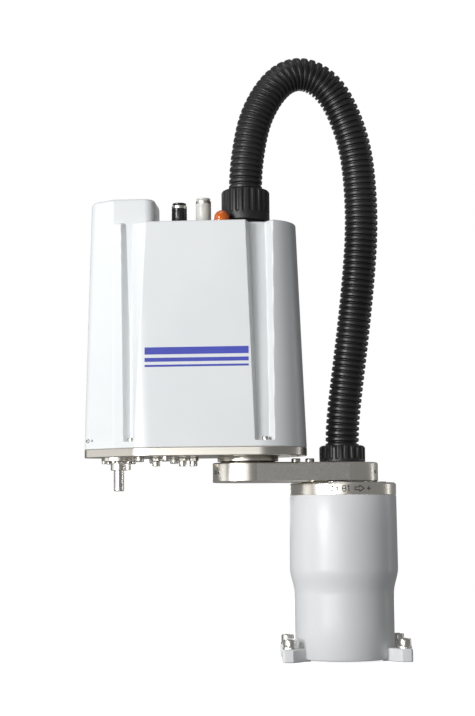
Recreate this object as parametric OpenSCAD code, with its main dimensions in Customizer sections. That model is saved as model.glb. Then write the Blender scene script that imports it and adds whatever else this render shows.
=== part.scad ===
// Tabletop four-axis SCARA robot arm: bolted base, short inner arm, tall head and a ball-screw spline shaft.
// Millimetres, +Z up. The origin is on the first axis at the base's seat, and the base's front faces -Y.

/* [Arm] */
// Distance from the first axis to the second
arm1_l = 75; // [70:1:80]
// Distance from the second axis to the tool shaft
arm2_l = 100; // [98:1:102]
// Direction of the inner arm at rest, in degrees from +X
arm1_dir = 191; // [185:1:195]
// Direction of the head at rest, in degrees from +X
arm2_dir = 176; // [165:1:185]
// Radius of the inner arm's round ends
arm1_r = 27.5; // [26:0.5:28]

/* [Base] */
// Radius of the lower column
column_r = 38.25; // [37:0.25:39]
// Radius of the upper column
collar_r = 41.75; // [41:0.25:42]
// Height of the seat of the machined ring
column_h = 125.5; // [120:0.5:126]
// Half the spacing of the foot bolts across the base
foot_x = 43.3; // [42:0.1:45]
// Half the spacing of the foot bolts from front to rear
foot_y = 26; // [24:0.5:28]
// Thickness of the feet
foot_h = 10; // [8:0.5:12]

/* [Head] */
// Half the width of the head
head_hw = 35.5; // [34:0.5:37]
// Level of the underside of the head plate
plate_z = 155.7; // [155.5:0.1:156]
// Thickness of the head plate
plate_t = 6.5; // [6:0.5:8]
// Level of the cover's flat top
cover_z = 335.5; // [330:0.5:340]
// Level of the top of the raised cap over the shaft
cap_z = 355; // [350:1:360]
// Wall of the cover
wall = 2.5; // [2:0.5:3]

/* [Shaft] */
// Radius of the tool shaft
shaft_r = 4; // [3:0.5:5]
// Level of the tool end of the shaft at rest
shaft_z = 130; // [125:1:135]
// Stroke of the shaft
stroke = 100; // [50:50:100]

/* [Hidden] */
$fn = 64;
eps = 0.01;
run_gap = 0.05;
// Foot bolts: radius, clearance hole, washer and the length that reaches below the feet
bolt_r = 3;
clear_r = 3.3;
washer_t = 1.5;
stud_len = 9;
ring_z = column_h;
ring_top = 135;
arm1_z = 135.7;
arm1_t = 15;
arm1_top = arm1_z + arm1_t;
plate_top = plate_z + plate_t;
j2 = [arm1_l * cos(arm1_dir), arm1_l * sin(arm1_dir)];
ledge_z = 167;
shaft_len = stroke + 112;
// Length of the shaft's free end, up to the groove under the collar
tool_end = 15.4;
belt_t = 1.2;
// Levels of the two nuts on the shaft and of their pulleys
spline_z = plate_top + 1;
screw_nut_z = 206;
z_pulley_z = 222;
j4_pulley_z = 184;
motor_r = 13;
motor_u = 30;
motor_v = 15;
pulley_r = 12;
small_pulley_r = 6;
nut_hole_r = 13.6;
// Points of the cable duct's centre line in the plane of the two vertical axes: [distance, level]
DUCT = [
    [75, 363], [75, 372], [74, 382], [73, 392], [71, 402], [69, 413], [66, 423], [61, 433],
    [56, 441], [51, 448], [43, 456], [33, 460], [22, 459], [12, 453], [5, 446], [-1, 437], [-5, 428],
    [-9, 418], [-12, 409], [-14, 400], [-16, 389], [-17, 378], [-18, 364], [-19, 343], [-18, 322],
    [-15, 294], [-12, 266], [-8, 237], [-4, 210], [-1, 187], [0, 177], [0, 164]
];
duct_r = 13;

// ---- frames and shared shapes ----

module arm1_frame() {
    rotate(arm1_dir) children();
}

module arm2_frame() {
    translate([j2[0], j2[1], 0]) rotate(arm2_dir) children();
}

module tube(r_out, r_in, h) {
    difference() {
        cylinder(r = r_out, h = h);
        translate([0, 0, -1]) cylinder(r = r_in, h = h + 2);
    }
}

// Socket-head cap screw, head up, its seat at z = 0
module cap_screw(shank_r, head_r, head_h, length) {
    difference() {
        union() {
            cylinder(r = head_r, h = head_h);
            translate([0, 0, -length]) cylinder(r = shank_r, h = length + eps);
        }
        translate([0, 0, head_h * 0.45]) cylinder(r = shank_r * 0.95, h = head_h, $fn = 6);
    }
}

// Arc of points about a centre, as a list
function arc(cx, cy, r, a0, a1, n) =
    [for (i = [0:n]) [cx + r * cos(a0 + (a1 - a0) * i / n), cy + r * sin(a0 + (a1 - a0) * i / n)]];

// Plan outline of the head: round behind, straight sides, a flat facet on each side of the nose.
// draft narrows the straight sides and rounds the nose more, while the facets stay upright;
// inset draws the whole outline in.
facet_a = 56;
nose_u = 118.7;
nose_r = 8;
corner_u = 70.4;
corner_r = 32;
rear_u = -10;
cover_draft = 5.35;
cap_draft = 5.95;
function head_outline(draft, inset) =
    let (
        cv = head_hw - corner_r - draft, cu = corner_u + 1.48 * draft, cr = corner_r - inset,
        nu = nose_u - 2.19 * draft, nr = max(nose_r + 1.2 * draft - inset, 1)
    )
    concat(
        arc(nu, 0, nr, -facet_a, facet_a, 10),
        arc(cu, cv, cr, facet_a, 90, 6),
        arc(rear_u + 0.25 * draft, 0, head_hw - draft - inset, 90, 270, 24),
        arc(cu, -cv, cr, 270, 360 - facet_a, 6)
    );

module head_slab(draft, inset, z, h) {
    translate([0, 0, z]) linear_extrude(h) polygon(head_outline(draft, inset));
}

// ---- base ----

module base_casting() {
    color("white") difference() {
        union() {
            rotate_extrude($fn = 96) polygon(concat(
                [[0, 1.2], [column_r - 1.2, 1.2], [column_r, 2.4], [column_r, 50]],
                [for (t = [0.1:0.1:1])
                    [column_r + (collar_r - column_r) * (1 - cos(180 * t)) / 2, 50 + 20 * t]],
                [[collar_r - 0.5, column_h], [0, column_h]]
            ));
            for (sx = [-1, 1], sy = [-1, 1])
                scale([sx, sy, 1]) translate([foot_x, foot_y, 0]) linear_extrude(foot_h) polygon(concat(
                    arc(3.7, 5, 2, 0, 90, 4),
                    [[-2.3, 7], [-4.8, 5], [-12.3, -4], [-16.3, -7]],
                    arc(3.7, -5, 2, -90, 0, 4)
                ));
            translate([-30, 20, 12]) cube([60, panel_y - 20, 62]);
        }
        translate([0, 0, 1]) cylinder(r = column_r - 5, h = column_h - 7, $fn = 96);
        translate([0, 0, column_h - 7]) cylinder(r = 31, h = 10, $fn = 96);
        translate([-26, 20, 16]) cube([52, 40, 54]);
        for (sx = [-1, 1], sy = [-1, 1])
            translate([sx * foot_x, sy * foot_y, -1]) cylinder(r = clear_r, h = foot_h + 2);
    }
}

module foot_bolts() {
    color("silver") for (sx = [-1, 1], sy = [-1, 1]) translate([sx * foot_x, sy * foot_y, 0]) {
        translate([0, 0, foot_h + washer_t]) cap_screw(bolt_r - 0.05, 5, 6, foot_h + washer_t);
        translate([0, 0, -stud_len]) cylinder(r = bolt_r, h = stud_len);
    }
}

module foot_washers() {
    color("silver") for (sx = [-1, 1], sy = [-1, 1])
        translate([sx * foot_x, sy * foot_y, foot_h]) tube(5.6, clear_r, washer_t);
}

module base_ring() {
    color("tan") difference() {
        rotate_extrude($fn = 96) polygon([
            [26.5, ring_z], [collar_r - 0.5, ring_z], [collar_r - 0.5, ring_top - 1.2],
            [collar_r - 1.7, ring_top], [26.5, ring_top]
        ]);
        rotate(-62) translate([34, 0, ring_top - 3]) cylinder(r = 1.5, h = 6);
    }
}

module stop_block() {
    color("black") rotate(-42) translate([36, -3, ring_top]) cube([4, 6, 0.4]);
}

module ring_screw() {
    color("silver") rotate(-62) translate([34, 0, ring_top - 3]) cylinder(r = 1.5, h = 3.4);
}

module base_seal() {
    color("black") translate([0, 0, ring_top]) tube(32.2, 27.5, 0.4);
}

panel_y = 48;

module rear_panel() {
    color("gray") difference() {
        translate([-30, panel_y, 12]) cube([60, 3, 62]);
        for (x = [-27, 27], z = [15, 71])
            translate([x, panel_y - 1, z]) rotate([-90, 0, 0]) cylinder(r = 1.5, h = 5);
        for (sx = [-1, 1]) at_base_fitting(sx) translate([0, 0, -4]) cylinder(r = 4.55, h = 5);
    }
}

module rear_panel_screws() {
    color("silver") for (x = [-27, 27], z = [15, 71])
        translate([x, panel_y + 3, z]) rotate([-90, 0, 0]) cap_screw(1.5, 2.75, 2, 3);
}

module receptacle(x, z, pins) {
    translate([x, panel_y + 3, z]) {
        difference() {
            union() {
                translate([-10.5, 0, -10.5]) cube([21, 1.5, 21]);
                rotate([-90, 0, 0]) cylinder(r = 9, h = 6);
            }
            for (i = [0:pins - 1])
                rotate([-90, 0, 0]) rotate(i * 360 / pins) translate([5, 0, 2]) cylinder(r = 0.9, h = 6);
        }
    }
}

module power_receptacle() {
    color("black") receptacle(-12.5, 27, 6);
}

module signal_receptacle() {
    color("dimgray") receptacle(12.5, 27, 8);
}

// Female D-shaped connector: a flange, a solid tongue with contact holes, and two jack posts
module d_connector(n) {
    difference() {
        union() {
            translate([-15.5, -6, 0]) cube([31, 12, 1]);
            linear_extrude(4) polygon([[-8.3, 3.9], [8.3, 3.9], [7, -3.9], [-7, -3.9]]);
            for (x = [-12.5, 12.5]) translate([x, 0, 0]) cylinder(r = 2.4, h = 3.5, $fn = 6);
        }
        for (row = [0, 1], i = [0:n - 1 - row])
            translate([(i - (n - 1 - row) / 2) * 2.75, 1.4 - row * 2.8, 1.5])
                cylinder(r = 0.5, h = 4, $fn = 16);
    }
}

module user_receptacle() {
    color("silver") translate([0, panel_y + 3, 48]) rotate([-90, 0, 0]) d_connector(5);
}

base_fitting_x = 17;
base_fitting_z = 63;

// Push-in air fitting, standing on z = 0: threaded foot, body and the seat of its release ring
fit_r = 6;
fit_h = 16.5;
collet_out = 4.4;
tube_bore_r = 3.05;
collet_travel = 0.8;
module fitting_body(h) {
    difference() {
        union() {
            cylinder(r = fit_r, h = h);
            cylinder(r = fit_r + 0.6, h = 3.5, $fn = 6);
            translate([0, 0, -5]) cylinder(r = 4.5, h = 5 + eps);
        }
        translate([0, 0, h - 8]) cylinder(r = collet_out + run_gap, h = 9);
        translate([0, 0, h - 12]) cylinder(r = tube_bore_r, h = 12);
    }
}

// Release ring: a sleeve in the fitting with a rim that the finger presses
module collet(h) {
    difference() {
        union() {
            translate([0, 0, h - 6]) cylinder(r = collet_out, h = 6 + collet_travel + eps);
            translate([0, 0, h + collet_travel]) cylinder(r = 5.4, h = 1.4);
        }
        translate([0, 0, h - 7]) cylinder(r = tube_bore_r, h = 12);
    }
}

module at_base_fitting(sx) {
    translate([sx * base_fitting_x, panel_y + 3, base_fitting_z]) rotate([-90, 0, 0]) children();
}

module base_fittings() {
    color("white") for (sx = [-1, 1]) at_base_fitting(sx) fitting_body(12.5);
}

module base_collet_left() {
    color("white") at_base_fitting(-1) collet(12.5);
}

module base_collet_right() {
    color("black") at_base_fitting(1) collet(12.5);
}

module j1_motor() {
    color("dimgray") translate([0, 0, 22]) {
        translate([-20, -20, 0]) cube([40, 40, 70]);
        translate([0, 0, 70]) cylinder(r = 33.2, h = 12);
        cylinder(r = 4, h = 92);
    }
}

module j1_circular_spline() {
    color("silver") translate([0, 0, 104]) tube(33.2, 21.3, 14.5);
}

// The thin cup that the wave generator bends; its boss is bolted under the inner arm
module j1_flexspline() {
    color("lightgray") translate([0, 0, 105]) {
        tube(21, 19.8, 22);
        translate([0, 0, 22]) cylinder(r = 21, h = 3);
        translate([0, 0, 25]) cylinder(r = 26, h = arm1_z - 130);
    }
}

module j1_wave_generator() {
    color("silver") translate([0, 0, 106]) difference() {
        cylinder(r = 19.3, h = 10);
        translate([0, 0, -1]) cylinder(r = 4.3, h = 12);
        for (a = [0:60:300]) rotate(a) translate([12, 0, -1]) cylinder(r = 2.5, h = 12);
    }
}

// ---- inner arm ----

module arm1_beam() {
    color("tan") arm1_frame() difference() {
        translate([0, 0, arm1_z]) linear_extrude(arm1_t) polygon(concat(
            arc(arm1_l, 0, arm1_r, -90, 90, 30), arc(0, 0, arm1_r, 90, 270, 30)
        ));
        translate([0, 0, arm1_z - 1]) cylinder(r = 11, h = arm1_t + 2);
        translate([arm1_l, 0, arm1_z - 1]) cylinder(r = 11, h = arm1_t + 2);
        for (u = [27, 38]) translate([u, 4, arm1_top - 10]) cylinder(r = 2, h = 12);
    }
}

module arm1_screws() {
    color("silver") arm1_frame() for (u = [27, 38])
        translate([u, 4, arm1_top]) cap_screw(2, 3.5, 3.3, 10);
}

module j2_flexspline() {
    color("lightgray") arm1_frame() translate([arm1_l, 0, arm1_z + 1]) {
        tube(10.9, 8, arm1_t + 6);
        translate([0, 0, arm1_t + 6]) tube(17, 8, 2);
        translate([0, 0, arm1_t + 8]) tube(17, 16, 14);
    }
}

module j2_seal() {
    color("black") arm1_frame() translate([arm1_l, 0, arm1_top]) tube(21.5, 12, 0.7);
}

// ---- cable duct ----

nut_ribs = 22;
module duct_nut(r, h, body_h) {
    difference() {
        rotate_extrude($fn = 88) polygon([
            [duct_r + 0.4, 0], [r - 0.8, 0], [r, 0.8], [r, h - 1.5], [r - 1.5, h], [duct_r + 0.4, h]
        ]);
        for (i = [0:nut_ribs - 1]) rotate(i * 360 / nut_ribs)
            translate([r + 0.3, 0, body_h]) cylinder(r = 1, h = h, $fn = 16);
    }
}

module duct_nut_base() {
    color("black") translate([0, 0, arm1_top]) duct_nut(17.8, 13.3, 3.5);
}

module duct_gland_base() {
    color("black") translate([0, 0, arm1_z + 1]) {
        tube(10.9, 8.5, arm1_t - 1);
        translate([0, 0, arm1_t - 1]) tube(13.3, 8.5, 13.3);
    }
}

module duct_nut_head() {
    color("black") arm2_frame() translate([0, 0, cover_z + 2.5]) duct_nut(18.75, 25, 6);
}

module duct_gland_head() {
    color("black") arm2_frame() translate([0, 0, cover_z - 8]) {
        tube(13.3, 10, 35.5);
        translate([0, 0, 8]) tube(15.4, 13.3, 2.3);
    }
}

// A frame for each ring of the duct, all in one vertical plane
function duct_dir(i) =
    let (a = DUCT[max(i - 1, 0)], b = DUCT[min(i + 1, len(DUCT) - 1)], d = b - a)
    d / norm(d);
duct_sides = 12;
function duct_point(i, k) =
    let (t = duct_dir(i), c = cos(k * 360 / duct_sides), s = sin(k * 360 / duct_sides))
    [DUCT[i][0] - t[1] * c * duct_r, s * duct_r, DUCT[i][1] + t[0] * c * duct_r];

module cable_duct() {
    rings = len(DUCT);
    points = [for (i = [0:rings - 1], k = [0:duct_sides - 1]) duct_point(i, k)];
    sides = [for (i = [0:rings - 2], k = [0:duct_sides - 1]) [
        i * duct_sides + k, i * duct_sides + (k + 1) % duct_sides,
        (i + 1) * duct_sides + (k + 1) % duct_sides, (i + 1) * duct_sides + k
    ]];
    start_cap = [[for (k = [duct_sides - 1:-1:0]) k]];
    end_cap = [[for (k = [0:duct_sides - 1]) (rings - 1) * duct_sides + k]];
    color("black") arm1_frame() polyhedron(points, concat(sides, start_cap, end_cap), convexity = 6);
}

// ---- head ----

module head_plate() {
    color("tan") arm2_frame() difference() {
        head_slab(0, 0, plate_z, plate_t);
        translate([0, 0, plate_z - 1]) cylinder(r = 17.6, h = plate_t + 2);
        translate([arm2_l, 0, plate_z - 1]) cylinder(r = 10, h = plate_t + 2);
    }
}

module j2_bearing_housing() {
    color("tan") arm2_frame() translate([0, 0, arm1_top + 1]) tube(23.5, 18.5, plate_z - arm1_top - 1);
}

// Tapered shell of the head, hollow below, with a raised cap over the shaft
cap_hw = 21.5;
cap_back_u = 69.3;
cap_inset = 0.1;
cover_screw_r = 2.75;
cover_screw_at = [[86.5, 28.6], [-15.5, 31.8]];
cover_pocket_r = cover_screw_r + 0.3;
cover_pocket_h = 3.5;
fit_black_u = 52;
fit_white_u = 33;
module cover_solid(inset, z0, top, cap) {
    hull() {
        head_slab(0, inset, z0, 0.1);
        head_slab(cover_draft, inset, top - 0.1, 0.1);
    }
    intersection() {
        hull() {
            head_slab(0, inset + cap_inset, z0, 0.1);
            head_slab(cap_draft, inset + cap_inset, cap - 0.1, 0.1);
        }
        translate([cap_back_u + inset, inset - cap_hw, z0]) cube([90, 2 * (cap_hw - inset), cap - z0]);
    }
}

// Groove cut into one long side, between the raised panel and a straight outer wall.
// Each end lists the outer wall's u and depths, then the panel's u and depths, at the ledge and at the top.
// grow widens it, for the inside of the shell.
module side_groove(outer, panel, side, grow) {
    step = outer[0] > panel[0] ? grow : -grow;
    hull() for (end = [0, 1])
        translate([0, 0, end == 0 ? ledge_z - grow : cover_z + 1]) linear_extrude(0.1) polygon([
            [outer[0] + step, side * (head_hw - outer[2 + end] - grow)],
            [outer[0] + step, side * (head_hw + 3)],
            [panel[end] - step, side * (head_hw + 3)],
            [panel[end] - step, side * (head_hw - panel[2 + end] - grow)]
        ]);
}

module side_grooves(grow) {
    for (side = [-1, 1]) {
        side_groove([93.1, 93, 12.7, 12.9], [84, 74.7, 5.6, 11.1], side, grow);
        side_groove([-21, -20.9, 5.4, 11.1], [-7.8, -1.5, 5.3, 10.7], side, grow);
    }
}

module at_cover_screws() {
    for (side = [-1, 1], p = cover_screw_at) translate([p[0], side * p[1], ledge_z]) children();
}

module head_cover() {
    color("white") arm2_frame() difference() {
        cover_solid(0, plate_top, cover_z, cap_z);
        side_grooves(0);
        difference() {
            cover_solid(wall, plate_top - 0.1, cover_z - wall, cap_z - wall);
            side_grooves(wall);
            at_cover_screws() translate([0, 0, -wall])
                cylinder(r = cover_pocket_r + wall, h = cover_pocket_h + 2 * wall);
        }
        at_cover_screws() cylinder(r = cover_pocket_r, h = cover_pocket_h);
        translate([0, 0, cover_z - 10]) cylinder(r = nut_hole_r, h = 20);
        for (u = [fit_black_u, fit_white_u]) translate([u, 0, cover_z - 10]) cylinder(r = 4.6, h = 20);
    }
}

module cover_screws() {
    color("silver") arm2_frame() at_cover_screws() cylinder(r = cover_screw_r, h = 2.6);
}

module z_frame() {
    color("silver") arm2_frame() {
        difference() {
            translate([45, -22, plate_top]) cube([4, 44, 91.7]);
            translate([40, 3, z_pulley_z - 4]) cube([12, 26, 14]);
            translate([40, -29, j4_pulley_z - 4]) cube([12, 26, 14]);
            translate([40, -12, j4_pulley_z - 4]) cube([12, 24, 14]);
            translate([40, -12, z_pulley_z - 4]) cube([12, 24, 14]);
        }
        difference() {
            intersection() {
                translate([45, -19.5, plate_top + 91.7]) cube([64, 39, 5]);
                head_slab(cover_draft, wall + 2.5, plate_top, 100);
            }
            translate([arm2_l, 0, plate_top + 80]) cylinder(r = 8, h = 20);
        }
        difference() {
            intersection() {
                translate([48, -19.5, screw_nut_z + 2]) cube([70, 39, 8]);
                head_slab(cover_draft, wall + 2.5, plate_top, 100);
            }
            translate([arm2_l, 0, screw_nut_z]) cylinder(r = 9.4, h = 20);
            translate([52, -6, screw_nut_z]) cube([30, 12, 20]);
        }
        motor_shelf(motor_v, z_pulley_z + 9);
        motor_shelf(-motor_v, j4_pulley_z + 13);
    }
}

module motor_shelf(v, z) {
    difference() {
        translate([18, v - motor_r, z]) cube([28, 2 * motor_r, 3]);
        translate([motor_u, v, z - 1]) cylinder(r = 3, h = 5);
    }
}

module motor(h, shaft_h) {
    translate([-motor_r, -motor_r, 0]) cube([2 * motor_r, 2 * motor_r, h]);
    translate([0, 0, -shaft_h]) cylinder(r = 2.5, h = shaft_h + eps);
}

module z_motor() {
    color("dimgray") arm2_frame() translate([motor_u, motor_v, 234]) motor(50, 18);
}

module z_brake() {
    color("black") arm2_frame() translate([motor_u, motor_v, 284]) cylinder(r = 12, h = 14);
}

module j4_motor() {
    color("dimgray") arm2_frame() translate([motor_u, -motor_v, 200]) motor(60, 20);
}

module j2_motor() {
    color("dimgray") arm2_frame() translate([0, 0, 196]) difference() {
        union() {
            translate([-17, -17, 0]) cube([33, 34, 60]);
            translate([0, 0, plate_top + 14 - 196]) cylinder(r = 22, h = 196 - plate_top - 14 + eps);
        }
        translate([0, 0, plate_top + 13 - 196]) cylinder(r = 17.5, h = 196 - plate_top - 13);
        translate([0, 0, -1]) cylinder(r = 6, h = 62);
    }
}

module j2_circular_spline() {
    color("silver") arm2_frame() translate([0, 0, plate_top]) tube(27.5, 17.4, 14);
}

module j2_wave_generator() {
    color("silver") arm2_frame() translate([0, 0, 179]) difference() {
        union() {
            translate([0, 0, -2]) cylinder(r = 15.5, h = 6);
            cylinder(r = 8, h = 16);
        }
        translate([0, 0, -3]) cylinder(r = 5.5, h = 30);
    }
}

module spline_flange() {
    color("silver") arm2_frame() translate([arm2_l, 0, plate_z - 3]) {
        difference() {
            union() {
                cylinder(r = 13.5, h = 3);
                cylinder(r = 9.9, h = 8);
            }
            translate([0, 0, -1]) cylinder(r = 7, h = 12);
            for (a = [0:60:300]) rotate(a + 20) translate([11.4, 0, -1]) cylinder(r = 1.25, h = 5);
        }
    }
}

module spline_flange_screws() {
    color("silver") arm2_frame() translate([arm2_l, 0, plate_z - 3]) for (a = [0:60:300])
        rotate(a + 20) translate([11.4, 0, 0]) rotate([180, 0, 0]) cap_screw(1.25, 2.1, 1.7, 3);
}

module plate_screws() {
    color("silver") arm2_frame() for (p = [[81, 22], [75, -18], [60, 29], [60, -29]])
        translate([p[0], p[1], plate_z]) rotate([180, 0, 0]) cap_screw(1.9, 3.5, 4, 0);
}

// Stop bolts under the plate: a hex-headed one and a pair of hex-nutted ones
module stop_bolts() {
    color("silver") arm2_frame() for (p = [[70, 8], [50, 2], [42, 0]]) translate([p[0], p[1], 0]) {
        translate([0, 0, plate_z - 3]) cylinder(r = 4, h = 3, $fn = 6);
        translate([0, 0, plate_z - 7]) cylinder(r = 3, h = 5);
    }
}

module fitting_black() {
    color("black") arm2_frame() translate([fit_black_u, 0, cover_z]) fitting_body(fit_h);
}

module fitting_white() {
    color("white") arm2_frame() translate([fit_white_u, 0, cover_z]) fitting_body(fit_h + 3.5);
}

module collet_black() {
    color("black") arm2_frame() translate([fit_black_u, 0, cover_z]) collet(fit_h);
}

module collet_white() {
    color("lightgray") arm2_frame() translate([fit_white_u, 0, cover_z]) collet(fit_h + 3.5);
}

module status_lamp() {
    color("orange") arm2_frame() translate([17, 20, cover_z]) rotate_extrude() polygon(concat(
        [[0, 0], [6.6, 0], [6.6, 2]], arc(0, 3, 6.2, 0, 90, 8)
    ));
}

button_v = -19;
module button_bezel() {
    color("black") arm2_frame() translate([30, button_v, cover_z]) tube(7, 4.6, 2.5);
}

module brake_button() {
    color("red") arm2_frame() translate([30, button_v, cover_z + 2]) cylinder(r = 4.5, h = 3);
}

module head_connector() {
    color("silver") arm2_frame() translate([51, button_v, cover_z]) scale([0.8, 0.8, 0.8]) d_connector(5);
}

// ---- shaft drive ----

// Belt round two pulleys of different size, a plain closed loop
module belt(at_u, at_v, z, h) {
    d = sqrt((arm2_l - at_u) * (arm2_l - at_u) + at_v * at_v);
    a = acos((pulley_r - small_pulley_r) / d);
    translate([arm2_l, 0, z]) rotate(atan2(at_v, at_u - arm2_l)) linear_extrude(h) difference() {
        polygon(concat(arc(0, 0, pulley_r + 0.3 + belt_t, a, 360 - a, 24),
            arc(d, 0, small_pulley_r + 0.3 + belt_t, -a, a, 16)));
        polygon(concat(arc(0, 0, pulley_r + 0.3, a, 360 - a, 24),
            arc(d, 0, small_pulley_r + 0.3, -a, a, 16)));
    }
}

module pulley(r, h, bore_r) {
    difference() {
        union() {
            cylinder(r = r, h = h);
            translate([0, 0, -1]) cylinder(r = r + 1.8, h = 1);
        }
        translate([0, 0, -2]) cylinder(r = bore_r, h = h + 4);
    }
}

module z_belt() {
    color("black") arm2_frame() belt(motor_u, motor_v, z_pulley_z, 6);
}

module j4_belt() {
    color("black") arm2_frame() belt(motor_u, -motor_v, j4_pulley_z, 6);
}

module z_motor_pulley() {
    color("silver") arm2_frame() translate([motor_u, motor_v, z_pulley_z]) pulley(small_pulley_r, 7, 2.55);
}

module j4_motor_pulley() {
    color("silver") arm2_frame() translate([motor_u, -motor_v, j4_pulley_z]) pulley(small_pulley_r, 7, 2.55);
}

module spline_nut() {
    color("silver") arm2_frame() translate([arm2_l, 0, spline_z]) difference() {
        union() {
            cylinder(r = 9, h = j4_pulley_z - spline_z);
            translate([0, 0, j4_pulley_z - spline_z]) cylinder(r = pulley_r, h = 7);
            translate([0, 0, -6]) cylinder(r = 6.6, h = 7);
        }
        translate([0, 0, -8]) cylinder(r = shaft_r + run_gap, h = 60);
    }
}

module screw_nut() {
    color("silver") arm2_frame() translate([arm2_l, 0, screw_nut_z]) difference() {
        union() {
            cylinder(r = 9, h = z_pulley_z - screw_nut_z);
            translate([0, 0, z_pulley_z - screw_nut_z]) cylinder(r = pulley_r, h = 7);
        }
        translate([0, 0, -1]) cylinder(r = shaft_r + run_gap, h = 60);
    }
}

module shaft() {
    color("silver") arm2_frame() translate([arm2_l, 0, shaft_z]) difference() {
        rotate_extrude() polygon([
            [0, 0], [shaft_r - 0.5, 0], [shaft_r, 0.5], [shaft_r, tool_end], [shaft_r - 0.3, tool_end],
            [shaft_r - 0.3, tool_end + 0.5], [shaft_r, tool_end + 0.5], [shaft_r, shaft_len - 0.5],
            [shaft_r - 0.5, shaft_len], [0, shaft_len]
        ]);
        translate([0, 0, -1]) cylinder(r = 1.5, h = shaft_len + 2, $fn = 24);
    }
}

module shaft_collar() {
    color("silver") arm2_frame() translate([arm2_l, 0, 0]) {
        translate([0, 0, 146]) tube(6.35, shaft_r, 5.7);
        translate([0, 0, shaft_z + shaft_len - 8]) tube(6.35, shaft_r, 6);
    }
}

base_casting();
base_ring();
foot_bolts();
foot_washers();
stop_block();
ring_screw();
rear_panel();
rear_panel_screws();
power_receptacle();
signal_receptacle();
user_receptacle();
base_fittings();
base_collet_left();
base_collet_right();
j1_motor();
j1_circular_spline();
j1_wave_generator();
base_seal();
arm1_beam();
arm1_screws();
j1_flexspline();
j2_flexspline();
j2_seal();
duct_nut_base();
duct_gland_base();
cable_duct();
head_plate();
j2_bearing_housing();
head_cover();
cover_screws();
z_frame();
z_motor();
z_brake();
j4_motor();
j2_motor();
j2_circular_spline();
j2_wave_generator();
spline_flange();
spline_flange_screws();
plate_screws();
stop_bolts();
duct_nut_head();
duct_gland_head();
fitting_black();
fitting_white();
collet_black();
collet_white();
status_lamp();
brake_button();
button_bezel();
head_connector();
z_belt();
j4_belt();
z_motor_pulley();
j4_motor_pulley();
spline_nut();
screw_nut();
shaft();
shaft_collar();
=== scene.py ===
"""Looks of a tabletop SCARA arm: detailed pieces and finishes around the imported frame, in metres."""

import math

import bmesh
import bpy
import numpy as np
from mathutils import Matrix, Vector


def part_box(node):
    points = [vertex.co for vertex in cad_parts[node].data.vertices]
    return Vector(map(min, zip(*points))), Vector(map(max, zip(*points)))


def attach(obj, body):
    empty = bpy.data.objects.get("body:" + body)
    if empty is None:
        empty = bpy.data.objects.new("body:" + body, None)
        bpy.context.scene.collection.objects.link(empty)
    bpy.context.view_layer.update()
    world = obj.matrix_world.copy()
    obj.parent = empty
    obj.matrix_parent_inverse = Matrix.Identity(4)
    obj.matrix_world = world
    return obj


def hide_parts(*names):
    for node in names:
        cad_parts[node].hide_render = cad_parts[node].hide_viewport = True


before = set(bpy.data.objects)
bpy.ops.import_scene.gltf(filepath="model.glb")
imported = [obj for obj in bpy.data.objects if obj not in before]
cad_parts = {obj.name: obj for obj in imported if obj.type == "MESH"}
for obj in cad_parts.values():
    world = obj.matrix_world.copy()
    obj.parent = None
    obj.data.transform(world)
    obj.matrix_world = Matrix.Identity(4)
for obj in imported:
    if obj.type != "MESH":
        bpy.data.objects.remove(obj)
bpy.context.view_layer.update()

MM = 0.001
TAU = 2 * math.pi
IDENT = Matrix.Identity(4)

# ---- places, in millimetres, read from the frame ----


def level(node, end):
    """The lowest (end 0) or highest (end 1) level of a CAD node."""
    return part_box(node)[end].z / MM


def middle(node):
    """The middle of a CAD node's box in plan."""
    low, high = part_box(node)
    return (low.x + high.x) / 2 / MM, (low.y + high.y) / 2 / MM


ARM1_DIR, ARM2_DIR = 191, 176
J2 = middle("j2_bearing_housing")
ARM1_L = math.hypot(*J2)
ARM1 = Matrix.Rotation(math.radians(ARM1_DIR), 4, "Z")
ARM2 = Matrix.Translation((J2[0], J2[1], 0)) @ Matrix.Rotation(math.radians(ARM2_DIR), 4, "Z")
ARM2_L = math.dist(middle("shaft"), J2)
RING_Z, RING_TOP = level("base_ring", 0), level("base_ring", 1)
ARM1_Z, ARM1_TOP = level("arm1_beam", 0), level("arm1_beam", 1)
PLATE_Z, PLATE_TOP = level("head_plate", 0), level("head_plate", 1)
CAP_Z = level("head_cover", 1)
COVER_Z = level("button_bezel", 0)
LEDGE_Z = level("cover_screws", 0)
COLUMN_R, COLLAR_R, ARM1_R, HEAD_HW = 38.25, 41.75, 27.5, 35.5

# ---- camera, lights and stage ----

CAMERA_AT = Vector((-0.0809, -1.25, 0.113))
CAMERA_PITCH, CAMERA_ROLL, CAMERA_LENS = 5.5, -0.5, 80.6
WORLD_LIGHT, WORLD_MIRRORED = 0.14, 0.1


def make_camera():
    data = bpy.data.cameras.new("camera")
    data.lens, data.sensor_width = CAMERA_LENS, 36
    data.clip_start, data.clip_end = 0.05, 30
    camera = bpy.data.objects.new("camera", data)
    bpy.context.scene.collection.objects.link(camera)
    turn = Matrix.Rotation(math.radians(90 + CAMERA_PITCH), 4, "X")
    roll = Matrix.Rotation(math.radians(CAMERA_ROLL), 4, "Z")
    camera.matrix_world = Matrix.Translation(CAMERA_AT) @ turn @ roll
    bpy.context.scene.camera = camera


def area_light(name, at, aim, size, power):
    data = bpy.data.lights.new(name, "AREA")
    data.shape, data.size, data.size_y = "RECTANGLE", size[0], size[1]
    data.energy = power
    light = bpy.data.objects.new(name, data)
    bpy.context.scene.collection.objects.link(light)
    light.location = at
    light.rotation_euler = (Vector(aim) - Vector(at)).to_track_quat("-Z", "Y").to_euler()


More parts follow.
